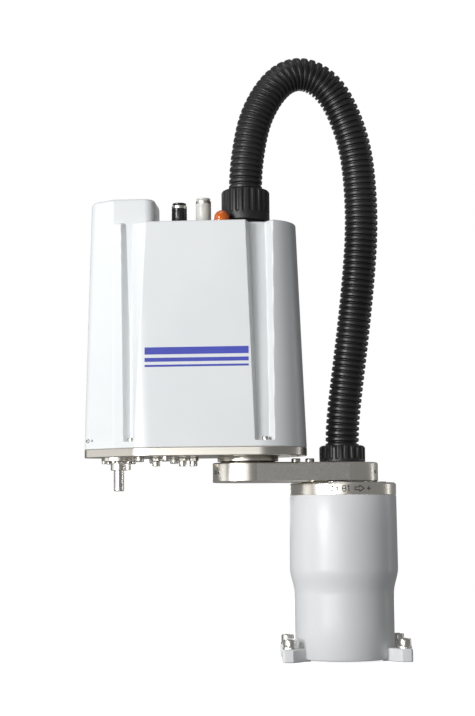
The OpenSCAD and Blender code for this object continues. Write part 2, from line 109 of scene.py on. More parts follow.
def make_light():
    middle_of_arm = (-0.08, 0, 0.22)
    area_light("key", (-1.35, -1.35, 0.45), middle_of_arm, (0.6, 0.9), 25.5)
    area_light("left_strip", (-1.3, -0.1, 0.35), middle_of_arm, (0.5, 1.2), 2)
    area_light("right_strip", (0.95, 0.35, 0.4), middle_of_arm, (0.12, 1.1), 1.0)
    area_light("front_fill", (-0.5, -2.2, 0.1), middle_of_arm, (1.0, 1.2), 4.5)
    area_light("low_fill", (-0.7, -1.5, -0.1), (0, 0, 0.06), (0.4, 0.4), 5)
    area_light("back_fill", (-0.3, 2.1, 0.6), middle_of_arm, (1.0, 1.0), 6)
    area_light("top", (-0.3, -0.2, 1.6), middle_of_arm, (0.8, 0.8), 2.5)
    world = bpy.data.worlds.new("studio")
    bpy.context.scene.world = world
    world.use_nodes = True
    tree = world.node_tree
    back = tree.nodes["Background"]
    back.inputs["Color"].default_value = (1, 1, 1, 1)
    # The backdrop shows white, lights the object softly, and gives metal something pale to mirror.
    path = tree.nodes.new("ShaderNodeLightPath")
    mirrored = tree.nodes.new("ShaderNodeMath")
    mirrored.operation = "MULTIPLY_ADD"
    mirrored.inputs[1].default_value, mirrored.inputs[2].default_value = WORLD_MIRRORED, WORLD_LIGHT
    shown = tree.nodes.new("ShaderNodeMath")
    shown.operation = "MAXIMUM"
    tree.links.new(path.outputs["Is Glossy Ray"], mirrored.inputs[0])
    tree.links.new(path.outputs["Is Camera Ray"], shown.inputs[0])
    tree.links.new(mirrored.outputs["Value"], shown.inputs[1])
    tree.links.new(shown.outputs["Value"], back.inputs["Strength"])


make_camera()
make_light()
bpy.context.scene.view_settings.view_transform = "Standard"

# ---- materials ----


class Shader:
    """A Principled material with the procedural nodes that most finishes share."""

    def __init__(self, name, metallic=0.0, coat=0.0, **sockets):
        self.material = bpy.data.materials.new(name)
        self.material.use_nodes = True
        self.tree = self.material.node_tree
        self.bsdf = self.tree.nodes["Principled BSDF"]
        self.bsdf.inputs["Metallic"].default_value = metallic
        self.bsdf.inputs["Coat Weight"].default_value = coat
        for socket, value in sockets.items():
            self.bsdf.inputs[socket.replace("_", " ")].default_value = value
        self.coords = self.tree.nodes.new("ShaderNodeTexCoord").outputs["Object"]
        self.normal = None

    def noise(self, scale, detail=4, stretch=(1, 1, 1), rough=0.55):
        mapping = self.tree.nodes.new("ShaderNodeMapping")
        mapping.inputs["Scale"].default_value = stretch
        self.tree.links.new(self.coords, mapping.inputs["Vector"])
        noise = self.tree.nodes.new("ShaderNodeTexNoise")
        noise.inputs["Scale"].default_value = scale
        noise.inputs["Detail"].default_value = detail
        noise.inputs["Roughness"].default_value = rough
        self.tree.links.new(mapping.outputs["Vector"], noise.inputs["Vector"])
        return noise.outputs["Fac"]

    def ramp(self, value, low, high, start=0.3, end=0.7):
        ramp = self.tree.nodes.new("ShaderNodeValToRGB")
        ramp.color_ramp.elements[0].position = start
        ramp.color_ramp.elements[1].position = end
        ramp.color_ramp.elements[0].color = (*low, 1)
        ramp.color_ramp.elements[1].color = (*high, 1)
        self.tree.links.new(value, ramp.inputs["Fac"])
        return ramp.outputs["Color"]

    def colour(self, value, low, high, start=0.3, end=0.7):
        self.tree.links.new(self.ramp(value, low, high, start, end), self.bsdf.inputs["Base Color"])

    def worn_colour(self, value, low, high, edge, edge_at=(0.53, 0.58)):
        """The varied colour, and another along the sharp convex edges."""
        mix = self.tree.nodes.new("ShaderNodeMix")
        mix.data_type = "RGBA"
        point = self.tree.nodes.new("ShaderNodeNewGeometry").outputs["Pointiness"]
        mask = self.ramp(point, (0, 0, 0), (1, 1, 1), *edge_at)
        self.tree.links.new(mask, mix.inputs["Factor"])
        self.tree.links.new(self.ramp(value, low, high), mix.inputs["A"])
        mix.inputs["B"].default_value = (*edge, 1)
        self.tree.links.new(mix.outputs["Result"], self.bsdf.inputs["Base Color"])

    def roughness(self, value, low, high):
        spread = self.tree.nodes.new("ShaderNodeMapRange")
        spread.inputs["From Min"].default_value = 0.3
        spread.inputs["From Max"].default_value = 0.7
        spread.inputs["To Min"].default_value = low
        spread.inputs["To Max"].default_value = high
        self.tree.links.new(value, spread.inputs["Value"])
        self.tree.links.new(spread.outputs["Result"], self.bsdf.inputs["Roughness"])

    def bump(self, value, height, strength=1.0):
        bump = self.tree.nodes.new("ShaderNodeBump")
        bump.inputs["Distance"].default_value = height
        bump.inputs["Strength"].default_value = strength
        self.tree.links.new(value, bump.inputs["Height"])
        if self.normal:
            self.tree.links.new(self.normal, bump.inputs["Normal"])
        self.normal = bump.outputs["Normal"]
        self.tree.links.new(self.normal, self.bsdf.inputs["Normal"])


def painted(name, low, high, rough=(0.3, 0.42), peel=0.00003, coat=0.15):
    """Sprayed paint: orange peel, a faint drift of tone, and slightly rubbed edges."""
    s = Shader(name, coat=coat, Coat_Roughness=0.25, Specular_IOR_Level=0.45)
    s.worn_colour(s.noise(9, 3), low, high, tuple(min(1, c * 1.05) for c in high))
    s.roughness(s.noise(60, 5), *rough)
    s.bump(s.noise(900, 2), peel)
    s.bump(s.noise(45, 3), peel * 2)
    return s.material


def machined(name, low, high, rough, stretch, line_height=0.000004, scale=260):
    """Bare milled or turned metal: fine tool lines along one direction, and handling marks."""
    s = Shader(name, metallic=1.0)
    s.worn_colour(s.noise(scale, 6, stretch), low, high, tuple(min(1, c * 1.12) for c in high))
    s.roughness(s.noise(38, 6), *rough)
    s.bump(s.noise(scale, 4, stretch), line_height)
    return s.material


def blasted(name, low, high, rough):
    """Bead-blasted and anodised aluminium with its fine even grain."""
    s = Shader(name, metallic=0.85)
    s.colour(s.noise(1500, 3), low, high, 0.35, 0.65)
    s.roughness(s.noise(300, 4), *rough)
    s.bump(s.noise(1700, 3), 0.00006)
    return s.material


def moulded(name, low, high, rough=(0.3, 0.45), grain=0.00002, **sockets):
    """Moulded plastic or rubber: a fine grain and flow marks."""
    s = Shader(name, **sockets)
    s.colour(s.noise(24, 5), low, high)
    s.roughness(s.noise(120, 4), *rough)
    s.bump(s.noise(2400, 2), grain)
    return s.material


WHITE_COVER = painted("cover_paint", (0.74, 0.765, 0.78), (0.79, 0.81, 0.82))
WHITE_CAST = painted("cast_paint", (0.76, 0.775, 0.79), (0.81, 0.825, 0.835), peel=0.00005)
TURNED = machined("turned_aluminium", (0.60, 0.575, 0.52), (0.72, 0.69, 0.63), (0.2, 0.32),
                  (0.02, 0.02, 3))
MILLED = machined("milled_aluminium", (0.44, 0.42, 0.38), (0.56, 0.535, 0.485), (0.26, 0.38),
                  (0.05, 0.05, 2.2))
BLASTED = blasted("blasted_aluminium", (0.42, 0.41, 0.38), (0.60, 0.585, 0.545), (0.42, 0.55))
NICKEL = machined("nickel_screw", (0.55, 0.53, 0.50), (0.74, 0.72, 0.68), (0.18, 0.34), (1, 1, 1),
                  0.00001, 700)
GROUND = machined("ground_steel", (0.56, 0.55, 0.54), (0.70, 0.69, 0.68), (0.12, 0.22), (1, 1, 0.05), 0.000003)
DARK_STEEL = machined("dark_steel", (0.05, 0.05, 0.055), (0.09, 0.09, 0.095), (0.35, 0.5), (1, 1, 1))
DUCT_BLACK = moulded("duct_nylon", (0.008, 0.008, 0.009), (0.018, 0.018, 0.020), (0.28, 0.42), 0.00003)
NUT_BLACK = moulded("nut_nylon", (0.008, 0.008, 0.009), (0.018, 0.018, 0.020), (0.36, 0.5), 0.00005)
GLOSS_BLACK = moulded("gloss_black", (0.008, 0.008, 0.009), (0.016, 0.016, 0.018), (0.12, 0.2))
RUBBER = moulded("seal_rubber", (0.012, 0.012, 0.012), (0.03, 0.03, 0.03), (0.6, 0.8), 0.00006)
PALE_RESIN = moulded("pale_resin", (0.62, 0.61, 0.57), (0.70, 0.69, 0.65), (0.22, 0.32), Subsurface_Weight=0.1)
LENS = moulded("orange_lens", (0.80, 0.13, 0.005), (0.95, 0.24, 0.01), (0.05, 0.12), 0.00001,
               Transmission_Weight=0.35, Coat_Weight=0.6)
BUTTON_RED = moulded("button_red", (0.50, 0.02, 0.015), (0.60, 0.03, 0.02), (0.25, 0.35))
BLUE_INK = moulded("blue_ink", (0.045, 0.06, 0.42), (0.055, 0.075, 0.50), (0.3, 0.4))
DARK_INK = moulded("dark_ink", (0.02, 0.02, 0.022), (0.035, 0.035, 0.037), (0.6, 0.75),
                   Specular_IOR_Level=0.08)
BELT_RUBBER = moulded("belt_rubber", (0.015, 0.015, 0.015), (0.035, 0.035, 0.035), (0.5, 0.7), 0.0001)
GOLD_CONTACT = machined("brass_screw", (0.55, 0.42, 0.18), (0.72, 0.58, 0.28), (0.2, 0.3), (1, 1, 1))
FLOOR = moulded("floor_paper", (0.90, 0.90, 0.90), (0.93, 0.93, 0.93), (0.8, 0.95), 0.00001,
                Emission_Color=(1, 1, 1, 1), Emission_Strength=0.78)

# ---- mesh building: every shape is made in millimetres and stored in metres ----

CORNER_STEP = 0.4


def new_piece(name, bm, finishes, body, *nodes, slot=None, at=IDENT, sharp=32):
    """Turns the mesh into an object that rides on a body and stands for the CAD nodes."""
    bm.transform(Matrix.Scale(MM, 4) @ at)
    bmesh.ops.recalc_face_normals(bm, faces=bm.faces)
    mesh = bpy.data.meshes.new(name)
    bm.to_mesh(mesh)
    bm.free()
    for finish in finishes:
        mesh.materials.append(finish)
    mesh.polygons.foreach_set("use_smooth", [True] * len(mesh.polygons))
    mesh.set_sharp_from_angle(angle=math.radians(sharp))
    piece = bpy.data.objects.new(name, mesh)
    bpy.context.scene.collection.objects.link(piece)
    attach(piece, body)
    if nodes:
        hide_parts(*nodes)
    return piece


def join_rings(bm, rings, finish=0, loop=False):
    """Quads between rings of equal length; a ring of one vertex is a pole."""
    pairs = list(zip(rings, rings[1:]))
    if loop:
        pairs.append((rings[-1], rings[0]))
    for low, high in pairs:
        n = max(len(low), len(high))
        for k in range(n):
            a, b = low[k % len(low)], low[(k + 1) % len(low)]
            c, d = high[(k + 1) % len(high)], high[k % len(high)]
            corners = list(dict.fromkeys((a, b, c, d)))
            if len(corners) > 2:
                bm.faces.new(corners).material_index = finish


def cap(bm, ring, finish=0):
    if len(ring) > 2:
        bm.faces.new(ring).material_index = finish


def hexagon(a, r):
    """Radius at angle a of a hexagon whose flats are r from its centre."""
    return r / math.cos((a % (TAU / 6)) - TAU / 12)


def knurl(a, r):
    return r - 0.1 * (0.5 + 0.5 * math.cos(30 * a))


def ribbed(count, depth, width):
    """A rim with round-bottomed grooves, width being a groove's share of the pitch."""
    def radius(a, r):
        t = (a * count / TAU) % 1
        x = abs(t - 0.5) / (width / 2)
        return r - depth * (math.sqrt(max(0, 1 - x * x)) if x < 1 else 0)
    return radius


def lathe(bm, profile, seg=64, at=IDENT, finish=0, loop=False):
    """Turns a profile of (radius, level[, shape]); shape(angle, radius) makes it other than round."""
    rings = []
    for r, z, *shape in profile:
        if r < 1e-6:
            rings.append([bm.verts.new(at @ Vector((0, 0, z)))])
            continue
        ring = []
        for k in range(seg):
            a = TAU * k / seg
            rr = shape[0](a, r) if shape else r
            ring.append(bm.verts.new(at @ Vector((rr * math.cos(a), rr * math.sin(a), z))))
        rings.append(ring)
    join_rings(bm, rings, finish, loop)
    if not loop:
        cap(bm, rings[0], finish)
        cap(bm, rings[-1], finish)


def prism(bm, outline, z0, z1, edge=0.5, at=IDENT, finish=0):
    """An outline of (x, y, nx, ny) raised from z0 to z1, with chamfered edges."""
    rings = []
    for z, inset in ((z0, edge), (z0 + edge, 0), (z1 - edge, 0), (z1, edge)):
        rings.append([bm.verts.new(at @ Vector((x - nx * inset, y - ny * inset, z)))
                      for x, y, nx, ny in outline])
    join_rings(bm, rings, finish)
    cap(bm, rings[0], finish)
    cap(bm, rings[-1], finish)


def arc(cx, cy, r, a0, a1, step=1.0):
    """Points and outward normals along an arc, a step of about step mm apart."""
    n = max(2, int(abs(math.radians(a1 - a0)) * r / step))
    turns = [math.radians(a0 + (a1 - a0) * i / n) for i in range(n + 1)]
    return [(cx + r * math.cos(a), cy + r * math.sin(a), math.cos(a), math.sin(a)) for a in turns]


def fill_line(points, step=1.0):
    """Adds points along the straight stretches of a closed outline."""
    out = []
    for p, q in zip(points, points[1:] + points[:1]):
        n = max(1, int(math.dist(p[:2], q[:2]) / step))
        out += [tuple(a + (b - a) * i / n for a, b in zip(p, q)) for i in range(n)]
    return out


def rounded_box(w, h, r):
    """A rectangle with round corners, centred on the origin."""
    x, y = w / 2 - r, h / 2 - r
    centres = ((x, y), (-x, y), (-x, -y), (x, -y))
    return [p for k, c in enumerate(centres) for p in arc(*c, r, 90 * k, 90 * k + 90, CORNER_STEP)]


def socket_screw(bm, at, r, h, key, finish=0, seg=60):
    """Knurled head with a hex socket, its seat at z = 0."""
    lathe(bm, [(0, 0), (r * 0.97, 0), (r, h * 0.08, knurl), (r, h * 0.82, knurl), (r * 0.97, h * 0.86),
               (r * 0.88, h), (key * 1.25, h), (key, h - 0.2, hexagon), (key, h * 0.45, hexagon),
               (0, h * 0.38)], seg, at, finish)


def button_screw(bm, at, r, h, key, finish=0, seg=36):
    """Low domed head with a hex socket."""
    dome = [(r * math.cos(a), h * 0.25 + h * 0.75 * math.sin(a)) for a in (0, 0.35, 0.7, 1.0)]
    lathe(bm, [(0, 0), (r * 0.98, 0), *dome, (key * 1.15, h), (key, h - 0.1, hexagon), (key, h * 0.4, hexagon),
               (0, h * 0.35)], seg, at, finish)


def moved(x, y, z, flip=False):
    """A place to build at, upside down if flip."""
    return Matrix.Translation((x, y, z)) @ (Matrix.Rotation(math.pi, 4, "X") if flip else IDENT)


# Turns what is built upwards to point out of the back of the base.
OUT_BACK = Matrix.Rotation(-math.pi / 2, 4, "X")


def smooth_step(x):
    x = min(1, max(0, x))
    return x * x * (3 - 2 * x)


# ---- cable duct: first of the pieces, as its route sets the room it needs ----

# The centre line in the plane of the two axes: (distance from the first axis, level).
DUCT_ROUTE = [
    (75, 363), (75, 372), (74, 382), (73, 392), (71, 402), (69, 413), (66, 423), (61, 433),
    (56, 441), (51, 448), (43, 456), (33, 460), (22, 459), (12, 453), (5, 446), (-1, 437), (-5, 428),
    (-9, 418), (-12, 409), (-14, 400), (-16, 389), (-17, 378), (-18, 364), (-19, 343), (-18, 322),
    (-15, 294), (-12, 266), (-8, 237), (-4, 210), (-1, 187), (0, 177), (0, 164),
]
DUCT_R, DUCT_VALLEY_R, DUCT_PITCH = 13.0, 11.2, 4.54
RINGS_A_PITCH, DUCT_SIDES = 10, 48
SMOOTHINGS, RINGS_A_PATH_POINT = 4, 4


def smooth_route(points, step):
    """An even walk along a smooth curve through the points."""
    p = np.array(points, float)
    for _ in range(SMOOTHINGS):
        p[1:-1] = 0.25 * p[:-2] + 0.5 * p[1:-1] + 0.25 * p[2:]
        fine = np.empty((2 * len(p) - 1, 2))
        fine[::2] = p
        fine[1::2] = (p[:-1] + p[1:]) / 2
        p = fine
    along = np.concatenate([[0], np.cumsum(np.linalg.norm(np.diff(p, axis=0), axis=1))])
    at = np.linspace(0, along[-1], int(along[-1] / step) + 1)
    return np.stack([np.interp(at, along, p[:, k]) for k in (0, 1)], axis=1), along[-1]


def corrugation(s):
    """Radius along the duct: flat-topped ribs with round roots."""
    t = (s / DUCT_PITCH) % 1
    rib = smooth_step((0.5 - abs(t - 0.5)) / 0.17 - 0.45)
    return DUCT_VALLEY_R + (DUCT_R - DUCT_VALLEY_R) * rib


def make_duct():
    route, length = smooth_route(DUCT_ROUTE, DUCT_PITCH / RINGS_A_PITCH)
    bm = bmesh.new()
    rings = []
    tangent = np.gradient(route, axis=0)
    tangent /= np.linalg.norm(tangent, axis=1)[:, None]
    for i, ((x, z), (tx, tz)) in enumerate(zip(route, tangent)):
        r = corrugation(i * length / (len(route) - 1))
        ring = []
        for k in range(DUCT_SIDES):
            a = TAU * k / DUCT_SIDES
            c, s = r * math.cos(a), r * math.sin(a)
            ring.append(bm.verts.new((x - tz * c, s, z + tx * c)))
        rings.append(ring)
    join_rings(bm, rings)
    cap(bm, rings[0])
    cap(bm, rings[-1])
    duct = new_piece("corrugated_duct", bm, [DUCT_BLACK], "inner_arm", "cable_duct", slot="duct_plastic",
                     at=ARM1, sharp=60)


make_duct()

# ---- base ----

COLUMN_SEG = 160
FLARE_Z, FLARE_H, FLARE_RINGS = 50, 20, 16
WASHER_R, WASHER_T = 5.6, 1.5
# The box behind the column: its width, and where it starts inside the column.
REAR_BOX_W, REAR_BOX_Y = 60, 20


def make_base_casting():
    bm = bmesh.new()
    flare = [(COLUMN_R + (COLLAR_R - COLUMN_R) * (1 - math.cos(math.pi * t / FLARE_RINGS)) / 2,
              FLARE_Z + FLARE_H * t / FLARE_RINGS) for t in range(FLARE_RINGS + 1)]
    lathe(bm, [(0, 2.2), (COLUMN_R - 3, 1.6), (COLUMN_R - 1.6, 1.2), (COLUMN_R - 0.6, 1.7), (COLUMN_R, 3),
               (COLUMN_R, 30), *flare, (COLLAR_R - 0.25, 100), (COLLAR_R - 0.5, RING_Z - 0.8),
               (COLLAR_R - 1.0, RING_Z), (0, RING_Z)], COLUMN_SEG)
    low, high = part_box("foot_washers")
    foot_x, foot_y = high.x / MM - WASHER_R, high.y / MM - WASHER_R
    foot_top = low.z / MM
    # Each lug runs back into the column behind its bolt.
    lug = [*arc(3.7, 5, 2, 0, 90, CORNER_STEP), (-2.3, 7, -0.34, 0.94), (-4.8, 5, -0.74, 0.67),
           (-12.3, -4, -0.77, 0.64), (-16.3, -7, -0.3, -0.9), *arc(3.7, -5, 2, -90, 0, CORNER_STEP)]
    for sx in (-1, 1):
        for sy in (-1, 1):
            outline = [(x * sx, y * sy, nx * sx, ny * sy) for x, y, nx, ny in lug]
            prism(bm, outline, 0, foot_top, 0.7, moved(sx * foot_x, sy * foot_y, 0))
    low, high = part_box("rear_panel")
    depth = low.y / MM - REAR_BOX_Y
    at = moved(0, REAR_BOX_Y + depth / 2, 0)
    prism(bm, rounded_box(REAR_BOX_W, depth, 3), low.z / MM, high.z / MM, 1.2, at)
    new_piece("base_casting_painted", bm, [WHITE_CAST], "base", "base_casting", slot="painted_white")
    return foot_x, foot_y, foot_top


FOOT_X, FOOT_Y, FOOT_TOP = make_base_casting()


def corners():
    return [(sx * FOOT_X, sy * FOOT_Y) for sx in (-1, 1) for sy in (-1, 1)]


def serrated(a, r):
    return r - 0.25 * (0.5 + 0.5 * math.cos(24 * a))


def make_foot_bolts():
    bolts, washers = bmesh.new(), bmesh.new()
    for x, y in corners():
        socket_screw(bolts, moved(x, y, FOOT_TOP + WASHER_T), 5, 6, 2.5)
        lathe(bolts, [(0, -9), (2.6, -9), (3, -8.6), (3, FOOT_TOP + 1.6), (0, FOOT_TOP + 1.6)], 32,
              moved(x, y, 0))
        lathe(washers, [(3.1, 0), (5.5, 0), (WASHER_R, 0.2, serrated), (WASHER_R, 1.3, serrated),
                        (5.4, WASHER_T), (3.1, WASHER_T)], 96, moved(x, y, FOOT_TOP), loop=True)
    new_piece("foot_bolts_knurled", bolts, [NICKEL], "base", "foot_bolts", slot="steel")
    new_piece("foot_washers_toothed", washers, [NICKEL], "base", "foot_washers", slot="steel")


def make_ring():
    bm = bmesh.new()
    r = COLLAR_R - 0.5
    lathe(bm, [(26.5, RING_Z), (r - 0.4, RING_Z), (r, RING_Z + 0.4), (r, RING_TOP - 1.3), (r - 1.3, RING_TOP),
               (26.8, RING_TOP), (26.5, RING_TOP - 0.3)], COLUMN_SEG, loop=True)
    new_piece("base_ring_turned", bm, [TURNED], "base", "base_ring", slot="machined")
    return r


RING_R = make_ring()


def make_ring_details():
    bm = bmesh.new()
    x, y = middle("ring_screw")
    button_screw(bm, moved(x, y, RING_TOP), 1.6, 0.6, 0.6)
    new_piece("ring_screw_head", bm, [NICKEL], "base", "ring_screw", slot="steel")
    x, y = middle("stop_block")
    bm = bmesh.new()
    turn = Matrix.Rotation(math.atan2(y, x), 4, "Z")
    prism(bm, rounded_box(4, 6, 0.6), RING_TOP, RING_TOP + 0.4, 0.15, moved(x, y, 0) @ turn)
    new_piece("stop_block_pad", bm, [RUBBER], "base", "stop_block", slot="black_plastic")


# ---- flat marks that follow a surface ----


def strip(bm, points, width, place, thick=0.06, finish=0):
    """A stroke along points in the plane of a mark, laid on a surface by place(x, y, height)."""
    line = []
    for p, q in zip(points, points[1:]):
        n = max(1, int(math.dist(p, q) / 0.5))
        line += [(p[0] + (q[0] - p[0]) * i / n, p[1] + (q[1] - p[1]) * i / n) for i in range(n)]
    line.append(points[-1])
    rings = []
    for i, (x, y) in enumerate(line):
        a, b = line[max(0, i - 1)], line[min(len(line) - 1, i + 1)]
        d = math.dist(a, b) or 1
        nx, ny = -(b[1] - a[1]) / d * width / 2, (b[0] - a[0]) / d * width / 2
        rings.append([bm.verts.new(place(x + side * nx, y + side * ny, h))
                      for side, h in ((1, -thick), (1, thick), (-1, thick), (-1, -thick))])
    join_rings(bm, rings, finish)
    cap(bm, rings[0], finish)
    cap(bm, rings[-1], finish)


def block_arrow(x, y, length, height, side):
    """The outline of a hollow arrow that points to +x (side 1) or -x (side -1)."""
    h, neck = height / 2, height / 4.5
    shape = [(0, neck), (length * 0.5, neck), (length * 0.5, h), (length, 0), (length * 0.5, -h),
             (length * 0.5, -neck), (0, -neck), (0, neck)]
    return [(x + side * px, y + py) for px, py in shape]


def plus(x, y, size):
    return [[(x - size / 2, y), (x + size / 2, y)], [(x, y - size / 2), (x, y + size / 2)]]


def round_line(x, y, rx, ry, n=16):
    return [(x + rx * math.cos(TAU * i / n), y + ry * math.sin(TAU * i / n)) for i in range(n + 1)]


def on_cylinder(centre, r, direction, z0):
    """Maps a mark to a cylinder about a vertical axis: x runs to the right as seen from outside."""
    def place(x, y, h):
        a = math.radians(direction) + x / r
        return Vector((centre[0] + (r + h) * math.cos(a), centre[1] + (r + h) * math.sin(a), z0 + y))
    return place


def marks(name, strokes, place, body, width=0.6):
    bm = bmesh.new()
    for points in strokes:
        strip(bm, points, width, place)
    new_piece(name, bm, [DARK_INK], body)


def make_direction_marks():
    z = (RING_Z + RING_TOP) / 2
    theta_one = [round_line(-1.6, 0, 1.3, 2.3), [(-2.7, 0), (-0.5, 0)], [(0.9, 1.4), (1.9, 2.3), (1.9, -2.3)]]
    strokes = [[(-17.6, 0), (-15.2, 0)], block_arrow(-6.6, 0, 7.4, 4.6, -1), block_arrow(6.6, 0, 7.4, 4.6, 1),
               *theta_one, *plus(17.8, 0, 3.4)]
    marks("ring_marks", strokes, on_cylinder((0, 0), RING_R, -90, z), "base")
    z = (ARM1_Z + ARM1_TOP) / 2
    tip = [block_arrow(-3.4, 0, 3.4, 3.2, 1), *plus(2.4, 0, 2.2)]
    marks("arm_tip_marks", tip, on_cylinder(J2, ARM1_R, -150, z), "inner_arm")
    root = [block_arrow(1.6, 0, 3.2, 3.0, -1)]
    marks("arm_root_mark", root, on_cylinder((0, 0), ARM1_R, -28, z), "inner_arm")


make_foot_bolts()
make_ring_details()
make_direction_marks()

# ---- inner arm ----

ARM1_SCREWS_AT = ((27, 4), (38, 4))
# Each duct nut's radius and the height of its plain ring.
BASE_NUT_R, BASE_NUT_PLAIN_H = 17.8, 2.2
HEAD_NUT_R, HEAD_NUT_PLAIN_H = 18.75, 6.2
NUT_SEG = 264


def make_arm1():
    outline = fill_line(arc(ARM1_L, 0, ARM1_R, -90, 90) + arc(0, 0, ARM1_R, 90, 270), 1.5)
    bm = bmesh.new()
    prism(bm, outline, ARM1_Z, ARM1_TOP, 1.0)
    milled, grained = 0, 1
    for face in bm.faces:
        centre = face.calc_center_median()
        flat_side = (abs(face.normal.z) < 0.9 and abs(centre.y) > ARM1_R - 0.6
                     and 1 < centre.x < ARM1_L - 1)
        face.material_index = grained if flat_side and ARM1_Z + 1.2 < centre.z < ARM1_TOP - 1.2 else milled
    new_piece("arm1_machined", bm, [TURNED, BLASTED], "inner_arm", "arm1_beam", slot="machined", at=ARM1,
              sharp=25)
    bm = bmesh.new()
    for u, v in ARM1_SCREWS_AT:
        socket_screw(bm, moved(u, v, ARM1_TOP), 3.5, 3.3, 1.5)
    new_piece("arm1_screw_heads", bm, [NICKEL], "inner_arm", "arm1_screws", slot="steel", at=ARM1)
    bm = bmesh.new()
    lathe(bm, [(12, 0), (21.2, 0), (21.5, 0.25), (21.2, 0.7), (12, 0.7)], 96, loop=True)
    new_piece("j2_seal_lip", bm, [RUBBER], "inner_arm", "j2_seal", slot="rubber",
              at=moved(*J2, level("j2_seal", 0)))
    bm = bmesh.new()
    lathe(bm, [(27.5, 0), (32.8, 0), (33, 0.2), (32.6, 0.4), (27.5, 0.4)], 96,
          at=moved(0, 0, level("base_seal", 0)), loop=True)
    new_piece("base_seal_lip", bm, [RUBBER], "base", "base_seal", slot="rubber")


def nut_profile(r, h, plain_h, count=22):
    """Ribbed clamping nut of the cable duct: a plain lower ring, a ribbed grip and a chamfered top."""
    ribs = ribbed(count, 1.15, 0.62)
    faded = ribbed(count, 0.4, 0.5)
    bore = DUCT_R + 0.1
    return [(bore, 0), (r - 1.0, 0), (r - 0.2, 0.5), (r, 1.1), (r, plain_h - 0.8), (r - 0.05, plain_h),
            (r, plain_h + 0.6, faded), (r, plain_h + 1.3, ribs), (r, h - 2.2, ribs), (r - 0.25, h - 1.4, ribs),
            (r - 1.1, h - 0.5, faded), (r - 2.2, h), (bore + 0.9, h), (bore, h - 0.8)]


def fourteen_flats(a, r):
    """A wide shallow polygon, as on a large gland."""
    return r * 0.93 / math.cos((a % (TAU / 14)) - TAU / 28)


def make_duct_nuts():
    bm = bmesh.new()
    h = level("duct_nut_base", 1) - ARM1_TOP
    lathe(bm, nut_profile(BASE_NUT_R, h, BASE_NUT_PLAIN_H), NUT_SEG, at=moved(0, 0, ARM1_TOP), loop=True)
    new_piece("duct_nut_base_ribbed", bm, [NUT_BLACK], "inner_arm", "duct_nut_base", slot="black_plastic",
              sharp=40)
    bm = bmesh.new()
    z0, z1 = level("duct_nut_head", 0), level("duct_nut_head", 1)
    lathe(bm, nut_profile(HEAD_NUT_R, z1 - z0, HEAD_NUT_PLAIN_H), NUT_SEG, at=moved(0, 0, z0), loop=True)
    new_piece("duct_nut_head_ribbed", bm, [NUT_BLACK], "head", "duct_nut_head", slot="black_plastic", at=ARM2,
              sharp=40)
    bm = bmesh.new()
    lathe(bm, [(10, COVER_Z - 8), (13.3, COVER_Z - 8), (13.3, COVER_Z - 0.5), (16.4, COVER_Z),
               (16.9, COVER_Z + 0.8, fourteen_flats), (16.9, z0 - 1.2, fourteen_flats), (15.5, z0), (13.2, z0),
               (13.2, z1 - 0.5), (10, z1 - 0.5)], 192, loop=True)
    new_piece("duct_gland_head_body", bm, [NUT_BLACK], "head", "duct_gland_head", slot="black_plastic", at=ARM2)


make_arm1()
make_duct_nuts()

# ---- head: plan outline, plate and cover ----

HEAD_FACET = 56
COVER_DRAFT = 5.35
CAP_HW, CAP_BACK_U = 21.5, 69.3
NOSE_U, NOSE_R = 118.7, 8
CORNER_U, CORNER_R = 70.4, 32
REAR_U = -10
REAR_GROOVE_END = -22.4
DRAFT = COVER_DRAFT / (COVER_Z - PLATE_TOP)


def nose_arc(draft, inset):
    """Centre and radius of the nose, which rounds more as the cover draws in."""
    return NOSE_U - 2.19 * draft, NOSE_R + 1.2 * draft - inset


def straight(a, b, n):
    """Points between two outline points, without its ends, with the normal of the line."""
    (x0, y0), (x1, y1) = a[:2], b[:2]
    d = math.dist((x0, y0), (x1, y1))
    nx, ny = (y1 - y0) / d, -(x1 - x0) / d
    return [(x0 + (x1 - x0) * i / n, y0 + (y1 - y0) * i / n, nx, ny) for i in range(1, n)]


def spread(cx, cy, r, a0, a1, n):
    turns = [math.radians(a0 + (a1 - a0) * i / n) for i in range(n + 1)]
    return [(cx + r * math.cos(a), cy + r * math.sin(a), math.cos(a), math.sin(a)) for a in turns]


def head_outline(draft=0.0, inset=0.0):
    """Points and normals round the head, always as many: it has a round rear, straight sides and a facet
    each side of the nose."""
    nu, nr = nose_arc(draft, inset)
    cu, cv, cr = CORNER_U + 1.48 * draft, HEAD_HW - CORNER_R - draft, CORNER_R - inset
    rear = spread(REAR_U + 0.25 * draft, 0, HEAD_HW - draft - inset, 90, 270, 144)
    near = spread(cu, cv, cr, HEAD_FACET, 90, 40)
    far = spread(cu, -cv, cr, 270, 360 - HEAD_FACET, 40)
    nose = spread(nu, 0, nr, -HEAD_FACET, HEAD_FACET, 28)
    return (nose + straight(nose[-1], near[0], 100) + near + straight(near[-1], rear[0], 200) + rear
            + straight(rear[-1], far[0], 200) + far + straight(far[-1], nose[0], 100))


def groove_depth(u, z):
    """How far the side is let in at u: two grooves beside the raised panel, above the screw ledges."""
    if z < LEDGE_Z:
        return 0
    t = (z - LEDGE_Z) / (COVER_Z - LEDGE_Z)
    front_edge, rear_edge = 84 - 9.3 * t, -7.8 + 6.3 * t
    outer = 92.0 + 1.6 * t
    if front_edge < u < outer + 1.2:
        wall = smooth_step((outer + 1.2 - u) / 1.8)
        rise = ((u - front_edge) / (outer - front_edge)) if u < outer else 1
        return wall * (1.2 * smooth_step((u - front_edge) / 2) + (5.6 + 1.2 * t) * smooth_step(rise * 1.15))
    if REAR_GROOVE_END < u < rear_edge:
        wall = smooth_step((u - REAR_GROOVE_END) / 2.4)
        return (5.4 + 5.6 * t) * wall * smooth_step((rear_edge - u) / 2.2)
    return 0


